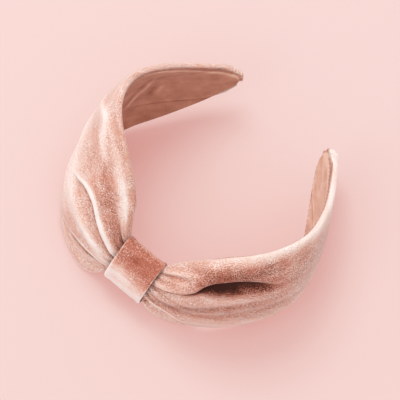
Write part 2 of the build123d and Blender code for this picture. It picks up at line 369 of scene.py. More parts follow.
def folds(side, s, x):
    """(height, shift along x, painted shade and sheen) of every fold of one arm's outer velvet."""
    height, shift, shade_and_sheen = pleat(PLEAT[side], s, x)
    for r in RIDGES[side]:
        here = smooth(r["height"], s)*hump(x - smooth(r["line"], s), r["width"])
        height += here
        # Painted shading: raised ridges painted lighter, sunk ones darker.
        shade_and_sheen += RIDGE_SHADING*here
    for n in PAINTED_SHEEN_AND_SHADE[side]:
        # Painted sheen and painted shade along their lines.
        shade_and_sheen += smooth(n["strength"], s)*hump(x - smooth(n["line"], s), n["width"])
    lower, upper = smooth(LOWER[side], s), smooth(UPPER[side], s)
    across = (x + lower)/(upper + lower)
    fade = np.exp(-np.maximum(s - FLAT, 0)/GATHER_REACH)
    wave = fade*np.sin(2*pi*(GATHERS*across + 0.2*side) + 0.05*s)
    height += GATHER_HEIGHT*wave
    # Painted shading of the gathers: lighter and darker with their waves.
    shade_and_sheen += GATHER_SHADING*wave
    for wide, tall, size in CRUSH.values():
        height += size*rough(s, x, wide, tall, 3.7*side)
    height += smooth(FLATTENED[side], s)*hump((across - 0.5)*2, 0.75)
    quiet = ease(0, 9, length(side) - s)
    return height*quiet, shift*quiet, shade_and_sheen


# ---- mesh helpers
def to_mesh(name, points, quads):
    """A smooth-shaded object from points in millimetres."""
    mesh = bpy.data.meshes.new(name)
    mesh.from_pydata((points*METRE).tolist(), [], quads)
    mesh.update()
    mesh.polygons.foreach_set("use_smooth", [True]*len(mesh.polygons))
    piece = bpy.data.objects.new(name, mesh)
    bpy.context.scene.collection.objects.link(piece)
    return piece


def grid_faces(rows, columns, round_columns=False, round_rows=False, flip=False):
    last_row = rows if round_rows else rows - 1
    last_column = columns if round_columns else columns - 1
    faces = []
    for i in range(last_row):
        for j in range(last_column):
            a, b = i*columns + j, i*columns + (j + 1) % columns
            c, d = ((i + 1) % rows)*columns + (j + 1) % columns, ((i + 1) % rows)*columns + j
            faces.append((a, d, c, b) if flip else (a, b, c, d))
    return faces


def press(points):
    """Cloth that would pass through the table is pressed flat on it."""
    soft = 0.5
    z = points[..., 2] - TABLE_Z
    points[..., 2] = TABLE_Z + np.where(z > soft, z, soft*np.exp(np.minimum(z/soft - 1, 0)))
    return points


def run_along(line):
    """How far along a line of points each of them is."""
    return np.concatenate([[0], np.cumsum(np.linalg.norm(np.diff(line, axis=0), axis=1))])


def lay_uv(mesh, flat):
    """A UV map from each vertex's place on the flat cloth."""
    layer = mesh.uv_layers.new(name="UVMap")
    corners = np.zeros(len(mesh.loops), np.int32)
    mesh.loops.foreach_get("vertex_index", corners)
    layer.data.foreach_set("uv", (flat.reshape(-1, 2)*UV_SCALE)[corners].astype(np.float32).ravel())


def brush(mesh, shade_and_sheen):
    """Writes painted sheen and highlights (+) and painted shade (-) as an attribute for the materials."""
    mesh.attributes.new("shade_and_sheen", "FLOAT", "POINT").data.foreach_set("value", shade_and_sheen.astype(np.float32).ravel())


def sheet_piece(name, points, side, thick, shade_and_sheen=None):
    """A sheet of cloth from a grid of points (rows along the band), with a real thickness."""
    rows, columns = points.shape[:2]
    piece = to_mesh(name, points.reshape(-1, 3), grid_faces(rows, columns, flip=side == RIGHT))
    mesh = piece.data
    run = run_along(points[:, columns//2])
    step = np.linalg.norm(np.diff(points, axis=1), axis=2)
    wide = np.concatenate([np.zeros((rows, 1)), np.cumsum(step, axis=1)], axis=1)
    wide -= wide[:, columns//2:columns//2 + 1]
    lay_uv(mesh, np.stack([np.broadcast_to(run[:, None], wide.shape), wide], -1))
    brush(mesh, np.zeros(wide.shape) if shade_and_sheen is None else shade_and_sheen)
    solid = piece.modifiers.new("cloth", "SOLIDIFY")
    solid.thickness = thick*METRE
    solid.offset = -1
    applied(piece)
    return piece


def applied(piece):
    """Makes the piece's modifiers real."""
    made = piece.evaluated_get(bpy.context.evaluated_depsgraph_get())
    mesh = bpy.data.meshes.new_from_object(made)
    piece.modifiers.clear()
    old = piece.data
    piece.data = mesh
    bpy.data.meshes.remove(old)
    mesh.name = piece.name


# ---- cloths of one arm
def turned_hem(side, s, at, towards, reach, thick, base, inward):
    """Points round a hem, from the outer face to the inner side, and on under the lining.

    at is x where the turn starts, towards is +1 for the upper hem, reach how far the turn stands
    out, thick its height, base the height it starts at and inward how far the cloth goes on.
    """
    angle = np.arctan(face(side, s, at + 0.5*towards, ON_TOP) - face(side, s, at - 0.5*towards, ON_TOP))
    angles = np.linspace(0, pi, TURN)[1:]
    lie = angle*(1 - ease(length(side) - 15, length(side) - 6, s))  # level where the turnings meet
    xs, hs = [], []
    for a in angles:
        forward = reach*sin(a)
        down = thick/2*(1 - cos(a))
        xs.append(at + towards*(forward*np.cos(angle) + down*np.sin(angle)))
        hs.append(base + forward*np.sin(angle) - down*np.cos(angle))
    for part in (0.35, 0.7, 1.0):
        xs.append(xs[len(angles) - 1] - towards*inward*part*np.cos(lie))
        hs.append(hs[len(angles) - 1] - inward*part*np.sin(lie))
    return xs, hs


def velvet_points(side):
    """The grid of one arm's outer velvet: inner lower edge, hem, outer face, hem, inner upper edge."""
    total = length(side)
    count = int((total - CLOTH_START)/STEP)
    s = np.linspace(CLOTH_START, total, count)
    upper = upper_hem(side, s)
    knot_end = FOLDED_EDGE[side][-1][0]
    free = ease(knot_end - 12, knot_end, s)
    lower = np.where(s < knot_end, smooth(FOLDED_EDGE[side], s), lower_hem(side, s))
    low_thick = FOLDED_THICK + (hem_roll(side, s) - FOLDED_THICK)*free
    high_thick = hem_roll(side, s) - 1.6*(1 - ease(11, 13.5, s))
    low_at, high_at = -lower + low_thick/2, upper - high_thick/2
    t = np.linspace(0, 1, ACROSS)[None, :]
    x = low_at[:, None] + (high_at - low_at)[:, None]*t
    grid_s = spread(s, x)
    height, shift, shade_and_sheen = folds(side, grid_s, x)
    near_hem = ease(0, 3.0, x - low_at[:, None])*ease(0, 3.0, high_at[:, None] - x)
    hem_share = 0.35 + 0.65*near_hem
    tuck = 1.3*(1 - ease(FLAT - 0.5, FLAT + 3.5, grid_s))
    nub = NUB[side]*hump(s - total, 4.5)
    lifted = face(side, grid_s, x, ON_TOP) + height*hem_share + nub[:, None] - tuck
    x = x + shift*near_hem
    meet = 0.5*(high_at - low_at)*ease(total - 15, total - 7, s)  # the turnings meet at the tip
    fuller = nub + TIP_FULL*ease(total - 14, total - 4, s)  # the turnings reach the lining
    low_in = np.maximum(np.minimum(TURNED_IN[0], 0.5*lower), meet)
    high_in = np.maximum(np.minimum(TURNED_IN[1], 0.5*upper), meet)
    low_base, high_base = lifted[:, 0], lifted[:, -1]
    low_x, low_h = turned_hem(side, s, low_at, -1, low_thick/2, low_thick + fuller, low_base, low_in)
    high_x, high_h = turned_hem(side, s, high_at, 1, high_thick/2, high_thick + fuller, high_base, high_in)
    xs = np.concatenate([np.stack(low_x[::-1], 1), x, np.stack(high_x, 1)], axis=1)
    hs = np.concatenate([np.stack(low_h[::-1], 1), lifted, np.stack(high_h, 1)], axis=1)
    # Painted sheen on the rolled upper hem, painted shade on the turned-in cloth behind it, and a painted
    # highlight along the folded lower edge.
    rolled = np.where(np.arange(len(high_x)) < TURN//2 + 1, 1.0, 0.0)
    hem_shading = smooth(HEM_SHEEN[side], s)[:, None]*rolled - 0.1*(1 - rolled)
    by_hem = hump(np.maximum(high_at[:, None] - x, 0), 2.2)
    shade_and_sheen = shade_and_sheen*(1 - by_hem) + hem_shading[:, :1]*by_hem
    fold_sheen = np.broadcast_to(smooth(FOLD_SHEEN, s)[:, None], (count, len(low_x)))
    shade_and_sheen += fold_sheen[:, :1]*hump(x - low_at[:, None], 1.0)
    shade_and_sheen = np.concatenate([fold_sheen, shade_and_sheen, hem_shading], axis=1)
    points = place(side, spread(s, xs), xs, hs)
    return close_tip(points), np.concatenate([shade_and_sheen, np.repeat(shade_and_sheen[-1:], CAP_ROWS, axis=0)])


def close_tip(points):
    """More rows that round off and close the end of a turned sheet."""
    last = points[-1]
    middle = (last.max(0) + last.min(0))/2
    ahead = points[-1].mean(0) - points[-6].mean(0)
    ahead /= np.linalg.norm(ahead)
    long = 0.40*np.linalg.norm(last - middle, axis=1).max()
    rows = []
    for i in range(1, CAP_ROWS + 1):
        a = pi/2*i/CAP_ROWS
        rows.append(middle + (last - middle)*max(cos(a), 0.02) + ahead*long*sin(a))
    return np.concatenate([points, np.array(rows)])


def under_points(side):
    """The layer under the pleated velvet: its lower hem shows beside the knot."""
    total = length(side)
    s = np.linspace(CLOTH_START, total - 6, 190)
    shown = np.maximum(smooth(SHOWN[side], s), 0)
    tucked = 2.6*ease(0, 2.5, 2.5 - shown)*ease(FLAT, FLAT + 4, s) + 1.4*(1 - ease(FLAT - 1, FLAT + 4, s))
    lower = lower_hem(side, s) + shown - tucked
    upper = upper_hem(side, s) - 3.5
    thick = 2.0 + 1.6*(1 - ease(FLAT, FLAT + 6, s))  # bunched where it enters the wrap
    low_at = -lower + thick/2
    t = np.linspace(0, 1, 54)[None, :]**1.35
    x = low_at[:, None] + (upper - low_at)[:, None]*t
    grid_s = spread(s, x)
    in_from_hem = x - low_at[:, None]
    middle_share = ease(0, 10, in_from_hem)
    down = UNDER[0]*middle_share + 0.9*(1 - middle_share)
    tuck = 1.1*(1 - ease(FLAT - 0.5, FLAT + 3.5, grid_s))
    dip = np.minimum(folds(side, grid_s, x)[0], 0)
    soft = 0.5*rough(grid_s, x, 11, 8, 9.1*side)*ease(0, 3, in_from_hem)
    puff = 0.9*np.minimum(shown, 4)[:, None]/4*hump(in_from_hem - 3.0, 3.2)
    puff += 2.4*(1 - ease(FLAT + 0.5, FLAT + 6, grid_s))*hump(in_from_hem - 1.6, 3.2)
    lifted = face(side, grid_s, x, ON_TOP) - down - tuck + 1.15*dip + soft*0.6 + puff
    lifted = np.maximum(lifted, face(side, grid_s, x, FOAM_CLEAR))
    low_x, low_h = turned_hem(side, s, low_at, -1, thick/2, thick, lifted[:, 0], shown + 3.0)
    xs = np.concatenate([np.stack(low_x[::-1], 1), x], axis=1)
    hs = np.concatenate([np.stack(low_h[::-1], 1), lifted], axis=1)
    fold = np.where(s < FOLDED_EDGE[side][-1][0], smooth(FOLDED_EDGE[side], s), lower_hem(side, s))
    # A lighter tone overall, a painted highlight along the rolled hem, and painted shade under the folded
    # edge above it.
    flange_tone_and_shading = 0.40 + 0.4*hump(in_from_hem, 1.0) - 0.6*hump(x + fold[:, None], 1.3)
    edge = np.concatenate([np.full((len(s), len(low_x)), 0.4), flange_tone_and_shading], axis=1)
    return place(side, spread(s, xs), xs, hs), edge, s, lower


CORE_HALF_WIDTH = 12.0
CORE_SHARE = 0.78
CREASES = {  # (s, x, turn, long, wide, height) of the lining's soft creases
    LEFT: [(120, 5, 52, 13, 1.4, 0.55), (126, 11, 60, 14, 1.6, 0.5), (116, -1, 48, 10, 1.2, 0.45),
           (134, 2, 70, 9, 2.2, 0.35), (108, 6, 40, 12, 1.6, 0.5), (96, -4, 20, 14, 2.0, 0.5)],
    RIGHT: [(118, 4, 50, 12, 1.5, 0.5), (104, -2, 30, 13, 1.8, 0.5), (130, -6, 65, 9, 1.8, 0.35)],
}


def lining_points(side):
    """The grid of one arm's lining, and its painted shade and highlights."""
    total = length(side)
    s = np.linspace(CLOTH_START, total - 1.4, 210)
    upper, lower = upper_hem(side, s), lower_hem(side, s)
    high, low = upper - np.minimum(LINING_INSET, 0.3*upper), -lower + np.minimum(LINING_INSET, 0.3*upper)
    rounded = np.sqrt(np.maximum(1 - (1 - np.clip((s[-1] - s)/3.0, 0, 1))**2, 0.02))
    middle, half = (high + low)/2, (high - low)/2*rounded
    high, low = middle + half, middle - half
    x = low[:, None] + (high - low)[:, None]*np.linspace(0, 1, 84)[None, :]
    grid_s = spread(s, x)
    edge = np.minimum(x - low[:, None], high[:, None] - x)
    deep = np.zeros_like(x)
    # Painted highlight on a strip below the upper edge, where the cloth turns over, and painted shade right
    # at the edge.
    shade_and_sheen = 0.75*hump(high[:, None] - x - 2.2, 1.6) - 0.5*hump(high[:, None] - x - 0.2, 0.7)
    centre = ((upper - lower)/2)[:, None]
    core = np.minimum(CORE_HALF_WIDTH, CORE_SHARE*((upper + lower)/2))[:, None]
    for way, print_share in ((-1, 1.0), (1, 0.35)):
        off = (x - centre)*way - core
        deep += print_share*(0.28*hump(off, 0.9) - 0.45*hump(off - 3.0, 2.6)*ease(0, 2, edge))
        # Painted highlight and painted shade along the edges of the core pressed through the lining.
        shade_and_sheen += print_share*(0.25*hump(off + 0.6, 0.8) - 0.6*hump(off - 0.7, 0.7))
    deep += 0.35*rough(grid_s, x, 17, 9, 21.0 + side) + 0.15*rough(grid_s, x, 6, 4, 40.0 + side)
    for s0, x0, turn, long, wide, size in CREASES[side]:
        turn_cos, turn_sin = cos(radians(turn)), sin(radians(turn))
        u = (grid_s - s0)*turn_cos + (x - x0)*turn_sin
        v = -(grid_s - s0)*turn_sin + (x - x0)*turn_cos
        crease = hump(u, long/2)*(hump(v, wide) - 0.6*hump(v - 2*wide, wide))
        deep += size*crease
        # Painted shading of the creases: lighter along each crease, darker beside it.
        shade_and_sheen += 0.6*crease
    # Painted light: the right arm's whole lining is made paler, as if lit more.
    shade_and_sheen += 0.75*(side == RIGHT)
    quiet = ease(0, 1.6, edge)*ease(0, 12, total - grid_s)
    turned = 0.30*(1 - ease(0, 0.9, edge))
    height = face(side, grid_s, x, LINING_FACE) - deep*quiet + turned
    return place(side, grid_s, x, height), shade_and_sheen


def foam_points(side):
    """A closed pad: its section goes round, outer face first."""
    total = length(side)
    s = np.linspace(FLAT + 1.4, total - 14, 120)
    upper, lower = upper_hem(side, s) - FOAM_INSET, lower_hem(side, s) - FOAM_INSET
    x = -lower[:, None] + (upper + lower)[:, None]*np.linspace(0, 1, 46)[None, :]
    grid_s = spread(s, x)
    dip = np.minimum(folds(side, grid_s, x)[0], 0)
    edge = np.minimum(x + lower[:, None], upper[:, None] - x)
    thin = 0.5*(1 - ease(0, 4, edge))
    inner = face(side, grid_s, x, FOAM_IN) + thin*0.4
    outer = np.maximum(face(side, grid_s, x, FOAM_OUT) + 1.15*dip - thin*0.2, inner + 0.35)
    outer += 0.1*rough(grid_s, x, 5, 5, 60.0)*(outer > inner + 0.6)
    top = place(side, grid_s, x, outer)
    bottom = place(side, grid_s, x, inner)[:, ::-1]
    return np.concatenate([top, bottom], axis=1)


# ---- thread
THREAD_R = 0.24
STITCH_LONG = 2.1
STITCH_PITCH = 3.1
STITCH_SIDES = 6
STITCH_ROWS = 7


def stitch(a, b, lift):
    """One stitch of round thread from a to b, its middle raised along lift: (points, faces)."""
    way = (b - a)/np.linalg.norm(b - a)
    side_way = np.cross(way, lift)
    side_way /= np.linalg.norm(side_way)
    top = np.cross(side_way, way)
    points = []
    for i in range(STITCH_ROWS):
        u = i/(STITCH_ROWS - 1)
        thick = THREAD_R*max(0.25, (1 - (2*u - 1)**4))**0.5
        centre = a + (b - a)*u + lift*(0.34*sin(pi*u) - 0.12)
        for k in range(STITCH_SIDES):
            angle = 2*pi*k/STITCH_SIDES
            points.append(centre + thick*(side_way*cos(angle) + top*sin(angle)))
    faces = grid_faces(STITCH_ROWS, STITCH_SIDES, round_columns=True)
    faces.append(tuple(range(STITCH_SIDES))[::-1])
    faces.append(tuple((STITCH_ROWS - 1)*STITCH_SIDES + k for k in range(STITCH_SIDES)))
    return points, faces


def stitches_piece(name, spans):
    """One piece of many stitches; spans are (from, to, lift) triples."""
    points, faces = [], []
    for a, b, lift in spans:
        more, quads = stitch(a, b, lift)
        faces += [tuple(i + len(points) for i in quad) for quad in quads]
        points += more
    return to_mesh(name, np.array(points), faces)


def hem_stitches(side):
    """Slip stitches that hold the lining to the turned-in velvet."""
    spans = []
    total = length(side)
    for towards in (-1, 1):
        for s in np.arange(19.0, total - 5, STITCH_PITCH):
            ends = []
            for ds, dx in ((-STITCH_LONG/2, 0.55), (STITCH_LONG/2, -0.5)):
                at = np.array([s + ds])
                hem = upper_hem(side, at) if towards == 1 else lower_hem(side, at)
                inset = np.minimum(LINING_INSET, 0.3*smooth(UPPER[side], at))
                x = towards*(hem - inset - 0.5 + dx)
                rest = 0.45 if dx > 0 else 0.0
                height = face(side, at, x, LINING_FACE) + rest + (0.2 if towards == -1 else 0.0)
                ends.append(place(side, at, x, height)[0])
            out = section(side, np.array([s]))[1][0]
            spans.append((ends[0], ends[1], -out))
    return spans


def flange_stitches(side, s_row, lower):
    """A worn row of stitches close to the lower hem of the layer under the pleats."""
    spans = []
    end = SHOWN[side][-1][0] - 14
    for s in np.arange(14.5, end, 2.7):
        ends = []
        for ds in (-0.85, 0.85):
            at = np.array([s + ds])
            x = -np.interp(at, s_row, lower) + 2.3
            height = face(side, at, x, ON_TOP) - 0.95
            ends.append(place(side, at, x, height)[0])
        out = section(side, np.array([s]))[1][0]
        spans.append((ends[0], ends[1], out))
    return spans


# ---- the knot's wrap
WRAP_LOOP = [  # its outer line round the band: (height, x), from the top corner
    (2.6, 6.0), (3.7, 2.5), (4.6, -3.5), (4.9, -9.5), (4.6, -15.0), (3.4, -19.8), (1.2, -23.2),
    (-2.8, -24.4), (-7.0, -21.6), (-8.5, -13.5), (-8.6, -5.0), (-8.0, 1.5), (-6.4, 5.6), (-3.8, 7.9),
    (-0.4, 8.1),
]
WRAP_THICK = 1.25
WRAP_HALF = 12.9
WRAP_ROUND = 150  # points round the loop
DIMPLE = (-1.0, 1.0, 2.6, 0.6)  # (along, across, size, depth)


def closed_curve(points, count):
    """Evenly spaced points of a smooth closed curve through the given ones."""
    p = np.array(points, float)
    n = len(p)
    fine = []
    for i in range(n):
        a, b, c, d = p[i - 1], p[i], p[(i + 1) % n], p[(i + 2) % n]
        for t in np.linspace(0, 1, 20, endpoint=False):
            fine.append(0.5*(2*b + (c - a)*t + (2*a - 5*b + 4*c - d)*t*t + (3*b - a - 3*c + d)*t**3))
    fine = np.array(fine + [fine[0]])
    run = run_along(fine)
    at = np.linspace(0, run[-1], count, endpoint=False)
    return np.stack([np.interp(at, run, fine[:, k]) for k in (0, 1)], 1), run[-1]


def wrap_band():
    """The wrap's piece and its length round, in millimetres."""
    loop, around = closed_curve(WRAP_LOOP, WRAP_ROUND)
    ahead = np.roll(loop, -1, axis=0) - np.roll(loop, 1, axis=0)
    ahead /= np.linalg.norm(ahead, axis=1)[:, None]
    normal = np.stack([-ahead[:, 1], ahead[:, 0]], 1)
    if (normal*(loop - loop.mean(0))).sum() < 0:
        normal = -normal
    r = WRAP_THICK/2
    flat_half = WRAP_HALF - r
    turn = np.linspace(0, pi, 8)[1:-1]
    # (along, below the outer surface) round the folded band's section
    tube = [(u*flat_half, 0.0) for u in np.linspace(-1, 1, 46)]
    tube += [(flat_half + r*sin(a), r*(1 - cos(a))) for a in turn]
    tube += [(u*flat_half, 2*r) for u in np.linspace(1, -1, 26)]
    tube += [(-flat_half - r*sin(a), r*(1 + cos(a))) for a in turn]
    tube = np.array(tube)
    columns = len(tube)
    at, down = (np.broadcast_to(row, (WRAP_ROUND, columns)) for row in tube.T)
    x0 = np.broadcast_to(loop[:, 1:], at.shape)
    outside = (loop[:, :1] > -1.0)*1.0
    lift = 0.30*rough(at, x0, 9, 15, 70) + 0.14*np.sin(at*1.15 + 0.5)*hump(np.abs(at) - 10, 4)
    lift += 0.32*hump(np.abs(at) - (WRAP_HALF - 1.6), 1.3)  # the folded edges stand up a little
    lift -= outside*DIMPLE[3]*hump(np.hypot((at - DIMPLE[0]), (x0 - DIMPLE[1])*0.8), DIMPLE[2])
    lift += outside*0.35*hump((at - DIMPLE[0] - 4) + 0.9*(x0 - DIMPLE[1] + 4), 1.9)*hump(x0 - DIMPLE[1], 5)
    drawn = 1 - (at/WRAP_HALF)**2  # the middle of its top sinks
    keep = np.where(down > WRAP_THICK*0.9, 0.0, 1.0)
    off = lift*keep - down
    height = loop[:, :1] + normal[:, :1]*off
    across = loop[:, 1:] + normal[:, 1:]*off - 1.0*drawn*ease(2, 8, x0)
    origin, out, up = CROWN_PLANE
    points = origin + at[..., None]*BAND_X + height[..., None]*out + across[..., None]*up
    quads = grid_faces(WRAP_ROUND, columns, round_columns=True, round_rows=True)
    piece = to_mesh("wrap_band", points.reshape(-1, 3), quads)
    mesh = piece.data
    lay_uv(mesh, np.stack([at, np.broadcast_to(np.linspace(0, around, WRAP_ROUND)[:, None], at.shape)], -1))
    # Painted sheen on the lower part of the outer side, where the wrap turns away, and painted shade over
    # its upper part and top edge.
    sheen_where_turned_away = ease(-1.0, -18.0, x0 + 0.2*at + 2.6*rough(at, x0, 7, 7, 81))
    shade_and_sheen = outside*(0.95*sheen_where_turned_away + 0.02 - 0.16*ease(-9, -3, x0) - 0.08*ease(4.5, 7, x0))
    # Painted highlight along its folded edges, painted shade on its inner side and in the dimple.
    shade_and_sheen += outside*0.5*hump(np.abs(at) - WRAP_HALF, 0.7) - 0.5*np.where(down > 0.9, 1, 0)
    shade_and_sheen -= outside*0.28*hump(np.hypot((at - DIMPLE[0])*0.6, x0 - DIMPLE[1]), DIMPLE[2]*0.8)
    brush(mesh, shade_and_sheen)
    return piece, around


def crown_strip(name, depth, low, high, half, wave):
    """A cloth under the wrap, along the straight crown."""
    s = np.linspace(-half, half, 40)
    x = np.linspace(low, high, 90)
    grid_s, grid_x = np.meshgrid(s, x, indexing="ij")
    height = face(RIGHT, np.zeros_like(grid_x), grid_x, depth) + wave*np.sin(grid_x*1.7)*0.5
    origin, out, up = CROWN_PLANE
    points = origin + grid_s[..., None]*BAND_X + height[..., None]*out + grid_x[..., None]*up
    return sheet_piece(name, points, RIGHT, CLOTH_THICK)


# ---- materials
def add(tree, kind, inputs=None, **settings):
    """A node with its settings; an input is a value or another node's output."""
    made = tree.nodes.new("ShaderNode" + kind)
    for key, value in settings.items():
        setattr(made, key, value)
    for key, value in (inputs or {}).items():
        if isinstance(value, bpy.types.NodeSocket):
            tree.links.new(value, made.inputs[key])
        else:
            made.inputs[key].default_value = value
    return made


def maths(tree, operation, a, b=0.0, c=0.0, clamp=False):
    return add(tree, "Math", {0: a, 1: b, 2: c}, operation=operation, use_clamp=clamp).outputs[0]


def times(tree, a, b, clamp=False):
    return maths(tree, "MULTIPLY", a, b, clamp=clamp)


def plus(tree, a, b, clamp=False):
    return maths(tree, "ADD", a, b, clamp=clamp)


def ramp(tree, factor, stops):
    """A colour ramp through (position, grey or colour) stops."""
    made = add(tree, "ValToRGB", {"Fac": factor})
    elements = made.color_ramp.elements
    while len(elements) < len(stops):
        elements.new(0.5)
    for element, (position, colour) in zip(elements, stops):
        element.position = position
        element.color = (*colour, 1) if isinstance(colour, tuple) else (colour, colour, colour, 1)
    return made.outputs["Color"]


MIX_FACTOR, MIX_A, MIX_B, MIX_RESULT = 0, 6, 7, 2  # a colour mix node's sockets


def towards_colour(tree, factor, start, colour):
    """The start colour, turned towards one fixed colour by factor."""
    inputs = {MIX_FACTOR: factor, MIX_A: start, MIX_B: (*colour, 1)}
    return add(tree, "Mix", inputs, data_type="RGBA").outputs[MIX_RESULT]


def new_material(name):
    made = bpy.data.materials.new(name)
    made.use_nodes = True
    made.node_tree.nodes.clear()
    return made, made.node_tree


def surface(tree, **inputs):
    shader = add(tree, "BsdfPrincipled", inputs)
    out = add(tree, "OutputMaterial")
    tree.links.new(shader.outputs["BSDF"], out.inputs["Surface"])
    return shader


def noise_at(tree, vector, scale, detail=2.0, roughness=0.5):
    inputs = {"Vector": vector, "Scale": scale, "Detail": detail, "Roughness": roughness}
    return add(tree, "TexNoise", inputs).outputs["Fac"]


def bumps(tree, height, strength, distance):
    inputs = {"Height": height, "Strength": strength, "Distance": distance}
    return add(tree, "Bump", inputs).outputs["Normal"]


TONE_PLACES = (0.02, 0.20, 0.42, 0.62, 0.86)  # of a velvet's five colours, dark to pale
GRAIN_SCALE = 165.0  # cells in 100 mm of cloth
DOT_SCALE = 128.0
PILE_SCALE = 420.0
PATCH_SCALE = 9.0
SHADE_AND_SHEEN_TONE = 0.40  # how much the painted shade and sheen change the colour
EVEN = (0.42, 0.45)  # loss of grain where the painted shade or sheen is strong, and what is left


def velvet(name, tones, sheen, grain_share):
    """Crushed velvet: short pile, with painted shade and painted sheen from the mesh's attribute, and a
    painted sheen that leaves it darker where it is looked into and pales it where it is seen edge-on.
    """
    made, tree = new_material(name)
    uv = add(tree, "TexCoord").outputs["UV"]
    shade_and_sheen = add(tree, "Attribute", attribute_name="shade_and_sheen").outputs["Fac"]
    long_way = add(tree, "Mapping", {"Vector": uv, "Scale": (6.0, 24.0, 1.0)}).outputs["Vector"]
    streaks = noise_at(tree, long_way, 1.0, 3.0, 0.55)
    patches = noise_at(tree, uv, PATCH_SCALE, 3.0, 0.6)
    grain = noise_at(tree, uv, GRAIN_SCALE, 1.5, 0.6)
    dots = add(tree, "TexVoronoi", {"Vector": uv, "Scale": DOT_SCALE, "Randomness": 0.6}).outputs["Distance"]
    pile = noise_at(tree, uv, PILE_SCALE, 1.0, 0.6)
    brushed = times(tree, plus(tree, streaks, patches), 0.5)
    tone = maths(tree, "MULTIPLY_ADD", brushed, 0.75, 0.10)
    sharp = ramp(tree, grain, [(0.40, 0.0), (0.50, 0.38), (0.58, 1.0)])
    dotted = ramp(tree, dots, [(0.15, 1.0), (0.55, 0.0)])
    grained = plus(tree, times(tree, sharp, 0.55), times(tree, dotted, 0.45))
    even = maths(tree, "SUBTRACT", 1.0, times(tree, times(tree, shade_and_sheen, shade_and_sheen), EVEN[0]))
    even = maths(tree, "MAXIMUM", even, EVEN[1])
    busy = times(tree, ramp(tree, patches, [(0.36, 0.42), (0.62, 1.0)]), grain_share)
    busy = times(tree, busy, even)
    speck = times(tree, maths(tree, "SUBTRACT", grained, 0.44), busy)
    tone = plus(tree, tone, speck)
    # Painted shade and painted sheen from the attribute shift the tone.
    tone = plus(tree, tone, times(tree, shade_and_sheen, SHADE_AND_SHEEN_TONE), clamp=True)
    colour = ramp(tree, tone, list(zip(TONE_PLACES, tones)))
    rough_map = ramp(tree, grain, [(0.3, 0.75), (0.7, 0.95)])
    height = plus(tree, times(tree, grained, 0.7), times(tree, pile, 0.3))
    bump = bumps(tree, height, 0.6, 0.0004)
    # Painted sheen: the colour turns towards the palest tone where the cloth is seen edge-on, more where the
    # painted sheen is strong and less in painted shade.
    facing = add(tree, "LayerWeight", {"Blend": 0.5, "Normal": bump}).outputs["Facing"]
    seen_edge_on = ramp(tree, facing, [(0.40, 0.0), (0.66, 0.22), (0.90, 1.0)])
    sheen_share = plus(tree, times(tree, shade_and_sheen, 1.2), 1.0, clamp=True)
    sheen_share = times(tree, sheen_share, maths(tree, "MULTIPLY_ADD", grained, 0.6, 0.66))
    painted_sheen = times(tree, times(tree, seen_edge_on, sheen_share), sheen, clamp=True)
    colour = towards_colour(tree, painted_sheen, colour, tones[-1])
    surface(tree, **{
        "Base Color": colour, "Roughness": rough_map, "Normal": bump, "Specular IOR Level": 0.15,
        "Sheen Weight": 0.42, "Sheen Roughness": 0.35, "Sheen Tint": (1.0, 0.89, 0.84, 1),
    })
    return made


def suedette(name, deep, light, pale):
    """Brushed knitted lining: matte, with soft brushed strokes lying one way and another; the mesh's
    attribute adds painted shade and highlights.
    """
    made, tree = new_material(name)
    uv = add(tree, "TexCoord").outputs["UV"]
    slanted = add(tree, "Mapping", {"Vector": uv, "Scale": (9.0, 14.0, 1.0), "Rotation": (0, 0, 0.7)})
    strokes = noise_at(tree, slanted.outputs["Vector"], 1.0, 4.0, 0.6)
    fibre = noise_at(tree, uv, 190.0, 3.0, 0.7)
    knit = add(tree, "TexWave", {"Vector": uv, "Scale": 160.0, "Distortion": 3.0, "Detail": 2.0})
    tone = plus(tree, times(tree, strokes, 0.8), times(tree, fibre, 0.25))
    # Painted shade and highlights from the attribute shift the tone.
    shade_and_sheen = add(tree, "Attribute", attribute_name="shade_and_sheen").outputs["Fac"]
    tone = plus(tree, tone, times(tree, shade_and_sheen, 0.45), clamp=True)
    colour = ramp(tree, tone, [(0.25, deep), (0.68, light), (1.0, pale)])
    height = maths(tree, "MULTIPLY_ADD", knit.outputs["Fac"], 0.25, fibre)
    bump = bumps(tree, height, 0.35, 0.0003)
    surface(tree, **{
        "Base Color": colour, "Roughness": 0.97, "Normal": bump, "Specular IOR Level": 0.1,
        "Sheen Weight": 0.25, "Sheen Roughness": 0.6, "Sheen Tint": (1.0, 0.85, 0.78, 1),
    })
    return made


def thread_finish(name, dark, bright):
    made, tree = new_material(name)
    place_in = add(tree, "TexCoord").outputs["Object"]
    ply = {"Vector": place_in, "Scale": 900.0, "Distortion": 1.0}
    twist = add(tree, "TexWave", ply, bands_direction="DIAGONAL").outputs["Fac"]
    fuzz = noise_at(tree, place_in, 1500.0, 2.0)
    tone = times(tree, plus(tree, twist, fuzz), 0.5)
    colour = ramp(tree, tone, [(0.25, dark), (0.8, bright)])
    bump = bumps(tree, tone, 0.6, 0.0001)
    surface(tree, **{"Base Color": colour, "Roughness": 0.7, "Normal": bump, "Sheen Weight": 0.3})
    return made


def foam_finish(name):
    made, tree = new_material(name)
    at = add(tree, "TexCoord").outputs["Object"]
    pores = add(tree, "TexVoronoi", {"Vector": at, "Scale": 1400.0}).outputs["Distance"]
    cloud = noise_at(tree, at, 60.0, 3.0)
    colour = ramp(tree, cloud, [(0.3, (0.74, 0.66, 0.52)), (0.7, (0.86, 0.80, 0.68))])
    bump = bumps(tree, pores, 0.7, 0.0003)
    surface(tree, **{"Base Color": colour, "Roughness": 0.95, "Normal": bump})
    return made


